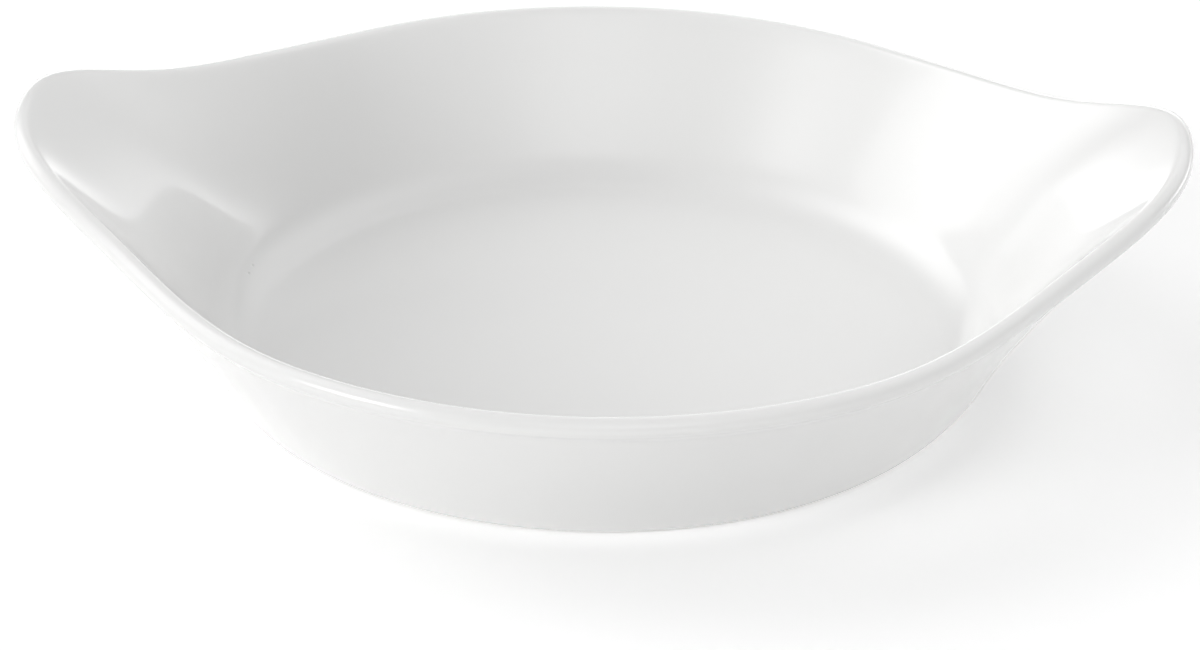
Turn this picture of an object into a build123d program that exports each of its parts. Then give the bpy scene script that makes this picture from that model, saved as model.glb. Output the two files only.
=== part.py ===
from build123d import *
from math import acos, atan2, cos, pi, radians, sin, sqrt
import os

# Round eared gratin dish: one piece of glazed porcelain, in millimetres.
# Z is up, the two ears lie along X, and the origin is the centre of the standing face.
# The wall is one closed skin: rings run up the outside, over the rolled lip and down the
# inside, and each ring is drawn out and lifted towards the ears.

# Overall sizes
rim_diameter = 180.0
ear_span = 217.0
rim_height = 33.3
ear_height = 49.0
foot_diameter = 134.6

# Thicknesses
wall = 3.4
floor = 4.2
lip = 3.8

# Ears: half their breadth, how square their tips are, how many degrees they lean out beyond
# the wall, how far from the middle the level rim starts to climb, and how far the foot is
# drawn out under them
ear_half_width = 27.3
ear_bluntness = 3.5
ear_flare = 20.4
level_half_length = 50.7
foot_drawn_out = 2.8

# Roundings: the heel under the wall, the hollow corner inside, and the neck where the wall
# swells into the lip, with the degrees by which it turns outwards there
heel_radius = 3.5
corner_radius = 11.0
neck = 3.2
neck_turn = 20.0

# Unglazed ring that the dish stands on, and the recess inside it, with a side that slopes
# by so many degrees
foot_ring = 5.0
foot_recess = 1.4
recess_slope = 40.0

# How many strips of skin each part of the section is laid in, each with a ring at both edges
# and one along its middle, and how many spans each half ring has
heel_strips = 4
wall_strips = 2
neck_strips = 2
lip_strips = 9
corner_strips = 7
half_ring_spans = 18

# Derived sizes
lip_radius = lip / 2
lip_circle = rim_diameter / 2 - lip_radius
lip_level = rim_height - lip_radius
foot_radius = foot_diameter / 2
ear_reach = ear_span / 2 - lip_radius - lip_circle
ear_rise = ear_height - rim_height
climb_run = lip_circle + ear_reach - level_half_length
climb_radius = (climb_run**2 + ear_rise**2) / (2 * ear_rise)


def ear_share(turn):
    # 1 at the tip of an ear, 0 at the round sides, with a blunt tip and soft flanks
    def bell(offset):
        return 1 / (1 + (offset / ear_half_width) ** ear_bluntness)

    tail = bell(lip_circle)
    return (bell(lip_circle * sin(turn)) - tail) / (1 - tail)


def lip_rise(x):
    # The rim is level across the middle and climbs to each ear along an arc
    run = max(abs(x) - level_half_length, 0)
    return climb_radius - sqrt(climb_radius**2 - run**2)


def outward(lean):
    # Unit normal of the outer wall where it leans out by this angle
    return Vector(cos(lean), -sin(lean))


def upward(lean):
    # Unit direction up that wall
    return Vector(sin(lean), cos(lean))


def straight_lean(heel_centre, lip_centre):
    # Lean of a straight outer wall that touches the heel and passes just inside the lip
    across = lip_centre - heel_centre
    offset = heel_radius - (wall - lip_radius)
    return acos(offset / across.length) - atan2(across.Y, across.X)


def even_shares(strips):
    # Even shares of a curve, from its start to its end, two steps to a strip
    steps = 2 * strips
    return [step / steps for step in range(steps + 1)]


def arc(centre, radius, start_lean, end_lean, strips):
    # Points on a circle, from where its outward normal has one lean to where it has another
    points = []
    for share in even_shares(strips):
        points.append(centre + outward(start_lean + (end_lean - start_lean) * share) * radius)
    return points


def bend(start, start_lean, end, end_lean, strips):
    # Points on the cubic curve that leaves and arrives along the wall's two leans
    handle = (end - start).length / 3
    first = start + upward(start_lean) * handle
    second = end - upward(end_lean) * handle
    points = []
    for share in even_shares(strips):
        rest = 1 - share
        low = start * rest**3 + first * (3 * rest**2 * share)
        points.append(low + second * (3 * rest * share**2) + end * share**3)
    return points


def narrow_strips(points):
    # Strips of three points, each of which starts where the one before ends
    return [points[start:start + 3] for start in range(0, len(points) - 1, 2)]


def section(turn):
    # The wall's section at one turn about Z, as strips of points (distance from Z, height)
    share = ear_share(turn)
    circle = lip_circle + ear_reach * share
    lip_centre = Vector(circle, lip_level + lip_rise(circle * cos(turn)))
    heel_centre = Vector(foot_radius + foot_drawn_out * share, heel_radius)
    side_lean = straight_lean(Vector(foot_radius, heel_radius), Vector(lip_circle, lip_level))
    top_lean = side_lean + radians(ear_flare) * share
    low_lean = 2 * straight_lean(heel_centre, lip_centre) - top_lean
    neck_lean = top_lean + radians(neck_turn)

    heel = arc(heel_centre, heel_radius, pi / 2, low_lean, heel_strips)
    bead = arc(lip_centre, lip_radius, neck_lean, top_lean - pi, lip_strips)
    outer_top = lip_centre + outward(top_lean) * (wall - lip_radius) - upward(top_lean) * neck
    outer_wall = bend(heel[-1], low_lean, outer_top, top_lean, wall_strips)
    outer_neck = bend(outer_top, top_lean, bead[0], neck_lean, neck_strips)

    corner_top = floor + corner_radius * (1 - sin(low_lean))
    inner_foot = heel[-1] - outward(low_lean) * wall
    inner_foot += upward(low_lean) * ((corner_top - inner_foot.Y) / cos(low_lean))
    inner_top = outer_top - outward(top_lean) * wall
    inner_wall = bend(inner_foot, low_lean, inner_top, top_lean, wall_strips)
    corner_centre = inner_foot - outward(low_lean) * corner_radius
    corner = arc(corner_centre, corner_radius, low_lean, pi / 2, corner_strips)

    outside = [*narrow_strips(heel), outer_wall, *narrow_strips(outer_neck)]
    inside = [[bead[-1], *reversed(inner_wall)], *narrow_strips(corner)]
    return [*outside, *narrow_strips(bead), *inside]


def ring(points):
    # Closed ring from its half on the +Y side, square to the plane of symmetry at both ears
    speeds = [Vector(0, pi * end.X, 0) for end in (points[0], points[-1])]
    spacing = [step / half_ring_spans for step in range(half_ring_spans + 1)]
    half = Edge.make_spline(points, tangents=speeds, parameters=spacing, scale=False)
    return Wire([half, half.mirror(Plane.XZ)])


def strip_rings(strip_sections, turns):
    # One ring through the same point of every section
    rings = []
    for station in zip(*strip_sections):
        points = []
        for turn, point in zip(turns, station):
            points.append(Vector(point.X * cos(turn), point.X * sin(turn), point.Y))
        rings.append(ring(points))
    return rings


half_turns = [pi * step / half_ring_spans for step in range(half_ring_spans + 1)]
strips = [strip_rings(strip, half_turns) for strip in zip(*map(section, half_turns))]

with BuildPart() as dish:
    skin = [face for rings in strips for face in Shell.make_loft(rings).faces()]
    standing_face = Face(strips[0][0])
    inside_floor = Face(strips[-1][-1])
    add(Solid(Shell([*skin, standing_face, inside_floor])))

    # The recess inside the foot ring
    with BuildSketch(Plane.XY):
        Circle(foot_radius - foot_ring)
    extrude(amount=foot_recess, taper=recess_slope, mode=Mode.SUBTRACT)

dish.part.label = "dish"
os.makedirs("parts", exist_ok=True)
export_step(dish.part, "parts/dish.step")
print("dish", dish.part.bounding_box(), round(dish.part.volume))
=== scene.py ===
from math import acos, atan2, cos, pi, radians, sin, sqrt, tan

import bmesh
import bpy
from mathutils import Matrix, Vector


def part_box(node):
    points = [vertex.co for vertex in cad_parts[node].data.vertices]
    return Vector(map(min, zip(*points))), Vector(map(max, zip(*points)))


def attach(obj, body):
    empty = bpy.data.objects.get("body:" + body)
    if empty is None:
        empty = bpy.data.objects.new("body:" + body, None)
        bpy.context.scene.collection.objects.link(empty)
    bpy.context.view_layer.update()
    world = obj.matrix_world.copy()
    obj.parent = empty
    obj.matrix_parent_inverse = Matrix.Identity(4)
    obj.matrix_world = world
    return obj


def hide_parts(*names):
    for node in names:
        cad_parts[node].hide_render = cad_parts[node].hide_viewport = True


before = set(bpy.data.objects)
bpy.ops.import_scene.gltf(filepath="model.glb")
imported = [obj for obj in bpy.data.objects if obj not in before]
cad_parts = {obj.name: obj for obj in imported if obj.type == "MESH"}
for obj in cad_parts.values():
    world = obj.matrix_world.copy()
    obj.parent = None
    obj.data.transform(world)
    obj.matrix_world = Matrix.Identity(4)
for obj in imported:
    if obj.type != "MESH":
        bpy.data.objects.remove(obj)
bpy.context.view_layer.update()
print("frame loaded")

# The dish. Lengths are metres and turns are degrees. Its span, width and height come from the
# frame, and the rest are the sizes that a potter would set.
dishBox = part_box("dish")
dish = {
    "earSpan": dishBox[1].x - dishBox[0].x,
    "rimDiameter": dishBox[1].y - dishBox[0].y,
    "earHeight": dishBox[1].z,
    "rimHeight": 0.0333,
    "footDiameter": 0.1346,
    "wall": 0.0034,
    "floor": 0.0042,
    "lip": 0.0038,
    "earHalfWidth": 0.0273,
    "earBluntness": 3.5,
    "earFlare": 20.4,
    "levelHalfLength": 0.0507,  # where the level rim starts to climb
    "footDrawnOut": 0.0028,  # how much further out the foot is under an ear
    "heelRadius": 0.0035,
    "cornerRadius": 0.011,
    "neck": 0.0032,
    "neckTurn": 20.0,
    "footRing": 0.005,
    "recess": 0.0014,
    "recessSlope": 40.0,
    "softEdge": 0.0005,
    "quarterTurns": 24,  # columns of faces in a quarter of the dish
    "heelSteps": 5,  # rows of faces in each part of the section
    "wallSteps": 8,
    "neckSteps": 3,
    "lipSteps": 11,
    "cornerSteps": 7,
}
lipRadius = dish["lip"] / 2
lipCircle = dish["rimDiameter"] / 2 - lipRadius
lipLevel = dish["rimHeight"] - lipRadius
footRadius = dish["footDiameter"] / 2
earReach = dish["earSpan"] / 2 - lipRadius - lipCircle
earRise = dish["earHeight"] - dish["rimHeight"]
climbRun = lipCircle + earReach - dish["levelHalfLength"]
climbRadius = (climbRun**2 + earRise**2) / (2 * earRise)
ringInside = footRadius - dish["footRing"]
slopeTop = ringInside - dish["recess"] * tan(radians(dish["recessSlope"]))


def earShare(turn):  # 1 at the tip of an ear, 0 at the round sides
    def bell(offset):
        return 1 / (1 + (offset / dish["earHalfWidth"]) ** dish["earBluntness"])

    tail = bell(lipCircle)
    return (bell(lipCircle * sin(turn)) - tail) / (1 - tail)


def lipRise(x):  # the rim climbs to the ears along an arc
    run = max(abs(x) - dish["levelHalfLength"], 0)
    return climbRadius - sqrt(climbRadius**2 - run**2)


def outward(lean):  # unit normal of the outer wall where it leans out by this much
    return Vector((cos(lean), -sin(lean)))


def upward(lean):
    return Vector((sin(lean), cos(lean)))


def straightLean(heelCentre, lipCentre):
    across = lipCentre - heelCentre
    offset = dish["heelRadius"] - (dish["wall"] - lipRadius)
    return acos(offset / across.length) - atan2(across.y, across.x)


def arcPoints(centre, radius, startLean, endLean, steps):
    leans = [startLean + (endLean - startLean) * step / steps for step in range(steps + 1)]
    return [centre + outward(lean) * radius for lean in leans]


def bendPoints(start, startLean, end, endLean, steps):  # a cubic along the wall's two leans
    handle = (end - start).length / 3
    first, second = start + upward(startLean) * handle, end - upward(endLean) * handle
    points = []
    for share in (step / steps for step in range(steps + 1)):
        rest = 1 - share
        low = start * rest**3 + first * (3 * rest**2 * share)
        points.append(low + second * (3 * rest * share**2) + end * share**3)
    return points


def sectionAt(turn):  # the section from the middle of the recess round to the middle of the floor
    share = earShare(turn)
    circle = lipCircle + earReach * share
    lipCentre = Vector((circle, lipLevel + lipRise(circle * cos(turn))))
    heelCentre = Vector((footRadius + dish["footDrawnOut"] * share, dish["heelRadius"]))
    sideHeel = Vector((footRadius, dish["heelRadius"]))
    sideLean = straightLean(sideHeel, Vector((lipCircle, lipLevel)))
    topLean = sideLean + radians(dish["earFlare"]) * share
    lowLean = 2 * straightLean(heelCentre, lipCentre) - topLean
    neckLean = topLean + radians(dish["neckTurn"])

    heel = arcPoints(heelCentre, dish["heelRadius"], pi / 2, lowLean, dish["heelSteps"])
    bead = arcPoints(lipCentre, lipRadius, neckLean, topLean - pi, dish["lipSteps"])
    wallOffset = outward(topLean) * (dish["wall"] - lipRadius)
    outerTop = lipCentre + wallOffset - upward(topLean) * dish["neck"]
    outerWall = bendPoints(heel[-1], lowLean, outerTop, topLean, dish["wallSteps"])
    outerNeck = bendPoints(outerTop, topLean, bead[0], neckLean, dish["neckSteps"])

    cornerTop = dish["floor"] + dish["cornerRadius"] * (1 - sin(lowLean))
    innerFoot = heel[-1] - outward(lowLean) * dish["wall"]
    innerFoot += upward(lowLean) * ((cornerTop - innerFoot.y) / cos(lowLean))
    innerTop = outerTop - outward(topLean) * dish["wall"]
    innerWall = bendPoints(innerFoot, lowLean, innerTop, topLean, dish["wallSteps"])
    cornerCentre = innerFoot - outward(lowLean) * dish["cornerRadius"]
    corner = arcPoints(cornerCentre, dish["cornerRadius"], lowLean, pi / 2, dish["cornerSteps"])

    under = [Vector((slopeTop * part, dish["recess"])) for part in (0.05, 0.4, 0.75, 1)]
    under += [Vector((ringInside, 0)), Vector(((ringInside + heel[0].x) / 2, 0))]
    floorSpan = corner[-1].x
    floor = [Vector((floorSpan * part, dish["floor"])) for part in (0.85, 0.6, 0.3, 0.05)]
    outside = under + heel + outerWall[1:] + outerNeck[1:]
    return outside + bead[1:] + innerWall[::-1] + corner[1:] + floor


def selectVertices(mesh, test):  # in edit mode, what the test finds and nothing else
    bpy.ops.mesh.select_all(action="DESELECT")
    cage = bmesh.from_edit_mesh(mesh)
    for vertex in cage.verts:
        vertex.select = test(vertex.co)
    cage.select_flush(True)


def selectEdges(mesh, test):  # in edit mode, the edges with both ends where the test says
    bpy.ops.mesh.select_all(action="DESELECT")
    cage = bmesh.from_edit_mesh(mesh)
    for edge in cage.edges:
        edge.select = all(test(vertex.co) for vertex in edge.verts)


def buildDish():
    bpy.ops.object.select_all(action="DESELECT")
    columns = dish["quarterTurns"]
    turns = [pi / 2 * column / columns for column in range(columns + 1)]
    sections = [sectionAt(turn) for turn in turns]
    start = sections[0][0]
    centre = (0, 0, start.y)
    bpy.ops.mesh.primitive_circle_add(vertices=4 * columns, radius=start.x, location=centre)
    piece = bpy.context.object
    piece.name = "porcelainDish"
    bpy.ops.object.transform_apply(location=True, rotation=True, scale=True)
    bpy.ops.object.mode_set(mode="EDIT")
    hair = start.x / 1000
    selectVertices(piece.data, lambda place: place.x < -hair or place.y < -hair)
    bpy.ops.mesh.delete(type="VERT")
    bpy.ops.mesh.select_all(action="SELECT")

    for station in list(zip(*sections))[1:]:  # each ring is drawn out of the one before
        bpy.ops.mesh.extrude_region_move()
        cage = bmesh.from_edit_mesh(piece.data)
        ring = sorted((v for v in cage.verts if v.select), key=lambda v: atan2(v.co.y, v.co.x))
        for vertex in ring:
            vertex.select = False
        cage.select_flush(False)
        for vertex, point, turn in zip(ring, station, turns):
            place = Vector((point.x * cos(turn), point.x * sin(turn), point.y))
            vertex.select = True
            bpy.ops.transform.translate(value=place - vertex.co)
            vertex.select = False
        for vertex in ring:
            vertex.select = True
        cage.select_flush(True)
    bpy.ops.object.mode_set(mode="OBJECT")

    mirror = piece.modifiers.new("otherQuarters", "MIRROR")
    mirror.use_axis = (True, True, False)
    mirror.merge_threshold = hair
    bpy.ops.object.modifier_apply(modifier=mirror.name)
    bpy.ops.object.mode_set(mode="EDIT")
    bpy.ops.mesh.select_all(action="SELECT")
    bpy.ops.mesh.fill_holes(sides=0)
    bpy.ops.mesh.select_all(action="SELECT")
    bpy.ops.mesh.normals_make_consistent(inside=False)

    for level, radius in ((0, ringInside), (dish["recess"], slopeTop)):  # soften the recess's edges
        def onEdge(place):
            return abs(place.z - level) < hair and abs(place.xy.length - radius) < hair

        selectEdges(piece.data, onEdge)
        bpy.ops.mesh.bevel(offset=dish["softEdge"], segments=3)
    bpy.ops.object.mode_set(mode="OBJECT")

    smooth = piece.modifiers.new("smoothSkin", "SUBSURF")
    smooth.levels = smooth.render_levels = 1
    bpy.ops.object.modifier_apply(modifier=smooth.name)
    bpy.ops.object.shade_smooth()
    return piece


porcelainDish = buildDish()
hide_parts("dish")
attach(porcelainDish, "root")
print("dish modelled:", len(porcelainDish.data.polygons), "faces")


class Sock:  # an output socket of a node, so that shader maths reads as sums
    def __init__(self, bench, socket):
        self.bench, self.socket = bench, socket

    def math(self, operation, *values):
        return self.bench.node("ShaderNodeMath", {"operation": operation}, dict(enumerate(values)))

    def __add__(self, other):
        return self.math("ADD", self, other)

    __radd__ = __add__

    def __sub__(self, other):
        return self.math("SUBTRACT", self, other)

    def __rsub__(self, other):
        return self.math("SUBTRACT", other, self)

    def __mul__(self, other):
        return self.math("MULTIPLY", self, other)

    __rmul__ = __mul__

    def exp(self):
        return self.math("EXPONENT", self)


class NodeBench:  # the nodes of one material or world, and the one way they are made
    def __init__(self, owner):
        owner.use_nodes = True
        self.tree = owner.node_tree
        self.tree.nodes.clear()

    def node(self, kind, settings, sockets, output=0):
        made = self.tree.nodes.new(kind)
        for key, value in settings.items():
            setattr(made, key, value)
        for key, value in sockets.items():
            if isinstance(value, Sock):
                self.tree.links.new(value.socket, made.inputs[key])
            else:
                made.inputs[key].default_value = value
        return Sock(self, made.outputs[output]) if len(made.outputs) else None


# The glaze. Heights and distances are metres, and noise scales are per metre.
glaze = {
    "white": (0.775, 0.775, 0.77, 1.0),
    "shade": (0.755, 0.755, 0.75, 1.0),  # where the glaze lies thicker
    "bareBody": (0.68, 0.675, 0.655, 1.0),
    "cloudScale": 22,
    "gloss": 0.085,
    "glossDrift": 0.02,
    "bareRoughness": 0.62,
    "waveScale": 55,
    "waveHeight": 3e-5,
    "rippleScale": 260,
    "rippleHeight": 3e-6,
    "grainScale": 2600,
    "grainHeight": 6e-5,
    "wipedHeight": 0.00035,  # the glaze is wiped off below this
    "wipedFade": 0.0002,
    "wipedWaver": 0.0003,
    "waverScale": 300,
    "wipedDepth": 0.00008,  # how far the bare ring lies below the glaze
    "specks": [(-0.06828, 0.01498, 0.0068), (-0.06786, 0.0178, 0.00714)],  # two bubbles on the left
    "speckRadius": 0.0004,
    "speckHeight": 0.00012,
}


def porcelainFinish():
    material = bpy.data.materials.new("porcelainGlaze")
    finish = NodeBench(material)
    place = finish.node("ShaderNodeTexCoord", {}, {}, "Object")
    level = finish.node("ShaderNodeSeparateXYZ", {}, {"Vector": place}, "Z")

    def noise(scale, detail):
        sockets = {"Vector": place, "Scale": scale, "Detail": detail}
        return finish.node("ShaderNodeTexNoise", {}, sockets, "Fac")

    def ramp(value, low, high):  # 1 up to low, 0 from high on
        settings = {"interpolation_type": "SMOOTHSTEP"}
        sockets = {"Value": value, "From Min": low, "From Max": high, "To Min": 1, "To Max": 0}
        return finish.node("ShaderNodeMapRange", settings, sockets, "Result")

    def blendColour(factor, first, second):
        sockets = {0: factor, 6: first, 7: second}
        return finish.node("ShaderNodeMix", {"data_type": "RGBA"}, sockets, 2)

    grain = noise(glaze["grainScale"], 3)
    glazeLine = level + noise(glaze["waverScale"], 2) * glaze["wipedWaver"]
    bare = ramp(glazeLine, glaze["wipedHeight"], glaze["wipedHeight"] + glaze["wipedFade"])
    clouds = blendColour(noise(glaze["cloudScale"], 3), glaze["white"], glaze["shade"])
    colour = blendColour(bare, clouds, glaze["bareBody"])
    glossy = noise(glaze["waveScale"], 2) * glaze["glossDrift"] + glaze["gloss"]
    roughness = glossy + bare * glaze["bareRoughness"]

    waves = noise(glaze["waveScale"], 1) * glaze["waveHeight"]
    skin = waves + noise(glaze["rippleScale"], 1) * glaze["rippleHeight"]
    for speck in glaze["specks"]:
        sockets = {0: place, 1: speck}
        distance = finish.node("ShaderNodeVectorMath", {"operation": "DISTANCE"}, sockets, "Value")
        skin = skin + ramp(distance, 0, glaze["speckRadius"]) * glaze["speckHeight"]
    height = skin + bare * grain * glaze["grainHeight"] - bare * glaze["wipedDepth"]
    bump = finish.node("ShaderNodeBump", {}, {"Strength": 1.0, "Distance": 1.0, "Height": height})
    shader = finish.node("ShaderNodeBsdfPrincipled", {}, {
        "Base Color": colour,
        "Roughness": roughness,
        "IOR": 1.5,
        "Normal": bump,
    })
    finish.node("ShaderNodeOutputMaterial", {}, {"Surface": shader})
    return material


porcelainDish.data.materials.append(porcelainFinish())
print("glaze made")

# The studio. Directions are degrees: round from the right-hand ear towards the back, and up from
# the table.
studio = {
    "tableHalf": 3.0,
    "tableWhite": (0.95, 0.95, 0.95, 1.0),
    # painted shade: the pale grey the table is painted away from the dish, where less light would
    # fall
    "paintedFalloffGrey": (0.6, 0.6, 0.6, 1.0),
    "tableRoughness": 0.6,
    "paintedLightPool": (0.2, 0.5),  # painted pool of light: white up to the first distance, painted pale grey shade from the second
    "tableGlow": 0.06,  # a lit white shooting table
    "paintedFootLight": 0.16,  # painted light: how much brighter the table glows under the dish, lifting the shade at the foot
    "paintedFootLightPool": (0.068, 0.077),  # painted light under the foot: in full up to the first distance, none from the second
    "glows": {  # around, up, spread and strength
        "key": (218, 20, 8, 12.0),
        "front": (280, 38, 15, 2.1),
        "frontRight": (320, 38, 15, 0.8),
        "overheadRight": (0, 62, 17, 1.15),
        "backRight": (40, 40, 15, 1.2),
        "back": (80, 38, 15, 1.1),
        "backLeft": (155, 40, 15, 2.8),
        "backLeftLow": (150, 18, 14, 1.1),
    },
    "horizonGlows": {  # the same four, squeezed down to the horizon
        "right": (25, 3, 16, 7.2),
        "backLow": (97, 3, 20, 2.9),
    },
    "horizonSpread": 5.5,
    "softboxDistance": 1.5,
    "softboxes": {  # around, up, breadth, height and watts per square metre
        "window": (169, 19, 39, 24, 3.1),
        "smallCard": (213, 34, 8, 4, 3.5),
    },
}


def towards(around, up):
    around, up = radians(around), radians(up)
    return Vector((cos(up) * cos(around), cos(up) * sin(around), sin(up)))


def litTable():
    bpy.ops.object.select_all(action="DESELECT")
    bpy.ops.mesh.primitive_plane_add(size=2 * studio["tableHalf"])
    table = bpy.context.object
    table.name = "paleTable"
    material = bpy.data.materials.new("paleTable")
    finish = NodeBench(material)
    place = finish.node("ShaderNodeTexCoord", {}, {}, "Object")
    distance = finish.node("ShaderNodeVectorMath", {"operation": "LENGTH"}, {0: place}, "Value")

    def beyond(near, far):  # 0 up to the near distance, 1 from the far one on
        settings = {"interpolation_type": "SMOOTHSTEP"}
        sockets = {"Value": distance, "From Min": near, "From Max": far}
        return finish.node("ShaderNodeMapRange", settings, sockets, "Result")

    # The table's colour holds a painted pool of light: white near the dish, painted pale grey shade
    # farther out.
    shades = {0: beyond(*studio["paintedLightPool"]), 6: studio["tableWhite"], 7: studio["paintedFalloffGrey"]}
    white = finish.node("ShaderNodeMix", {"data_type": "RGBA"}, shades, 2)
    # Painted light: the table glows brighter just under the dish's foot, lifting the contact shade
    # there.
    paintedFootLightMask = 1 - beyond(*studio["paintedFootLightPool"])
    shader = finish.node("ShaderNodeBsdfPrincipled", {}, {
        "Base Color": white,
        "Roughness": studio["tableRoughness"],
        "Specular IOR Level": 0.0,
        "Emission Color": (1, 1, 1, 1),
        "Emission Strength": paintedFootLightMask * studio["paintedFootLight"] + studio["tableGlow"],
    })
    finish.node("ShaderNodeOutputMaterial", {}, {"Surface": shader})
    table.data.materials.append(material)


def softRoom():
    world = bpy.data.worlds.new("softRoom")
    room = NodeBench(world)
    direction = room.node("ShaderNodeTexCoord", {}, {}, "Generated")

    def glow(around, up, spread, strength):
        settings, sockets = {"operation": "DOT_PRODUCT"}, {0: direction, 1: towards(around, up)}
        nearness = room.node("ShaderNodeVectorMath", settings, sockets, "Value")
        return ((nearness - 1) * (1 / radians(spread) ** 2)).exp() * strength

    light = sum(glow(*values) for values in studio["glows"].values())
    level = room.node("ShaderNodeSeparateXYZ", {}, {"Vector": direction}, "Z")
    bandHeight = sin(radians(studio["horizonSpread"]))
    for around, up, spread, strength in studio["horizonGlows"].values():
        above = (level - sin(radians(up))) * (1 / bandHeight)
        light = light + glow(around, up, spread, strength) * (above * above * -0.5).exp()
    shader = room.node("ShaderNodeBackground", {}, {"Color": (1, 1, 1, 1), "Strength": light})
    room.node("ShaderNodeOutputWorld", {}, {"Surface": shader})
    bpy.context.scene.world = world


def hangSoftboxes():
    away = studio["softboxDistance"]
    for name, (around, up, breadth, height, watts) in studio["softboxes"].items():
        direction = towards(around, up)
        turned = (-direction).to_track_quat("-Z", "Y").to_euler()
        bpy.ops.object.light_add(type="AREA", location=direction * away, rotation=turned)
        softbox = bpy.context.object
        softbox.name = name
        softbox.data.shape = "RECTANGLE"
        softbox.data.size = 2 * away * tan(radians(breadth / 2))
        softbox.data.size_y = 2 * away * tan(radians(height / 2))
        softbox.data.energy = watts * softbox.data.size * softbox.data.size_y


litTable()
softRoom()
hangSoftboxes()

# The camera, fitted to the photo. Its turns are degrees.
view = {
    "azimuth": 3.23,
    "elevation": 27.39,
    "distance": 0.88,
    "aim": (0, 0, 0.006),
    "focalPixels": 4666,
    "frameWidth": 1200,  # pixels
    "sensorWidth": 36,  # millimetres
    "roll": 0.593,
}


def placeCamera():
    azimuth, elevation = radians(view["azimuth"]), radians(view["elevation"])
    back = Vector((sin(azimuth) * cos(elevation), -cos(azimuth) * cos(elevation), sin(elevation)))
    bpy.ops.object.camera_add(location=back * view["distance"])
    camera = bpy.context.object
    camera.name = "photoCamera"
    camera.data.sensor_width = view["sensorWidth"]
    camera.data.lens = view["sensorWidth"] * view["focalPixels"] / view["frameWidth"]
    look = Vector(view["aim"]) - camera.location
    camera.rotation_euler = look.to_track_quat("-Z", "Y").to_euler()
    camera.rotation_euler.rotate_axis("Z", radians(view["roll"]))
    camera.data.clip_start, camera.data.clip_end = 0.01, 20
    bpy.context.scene.camera = camera


placeCamera()
bpy.context.scene.view_settings.view_transform = "Standard"
print("studio and camera placed")
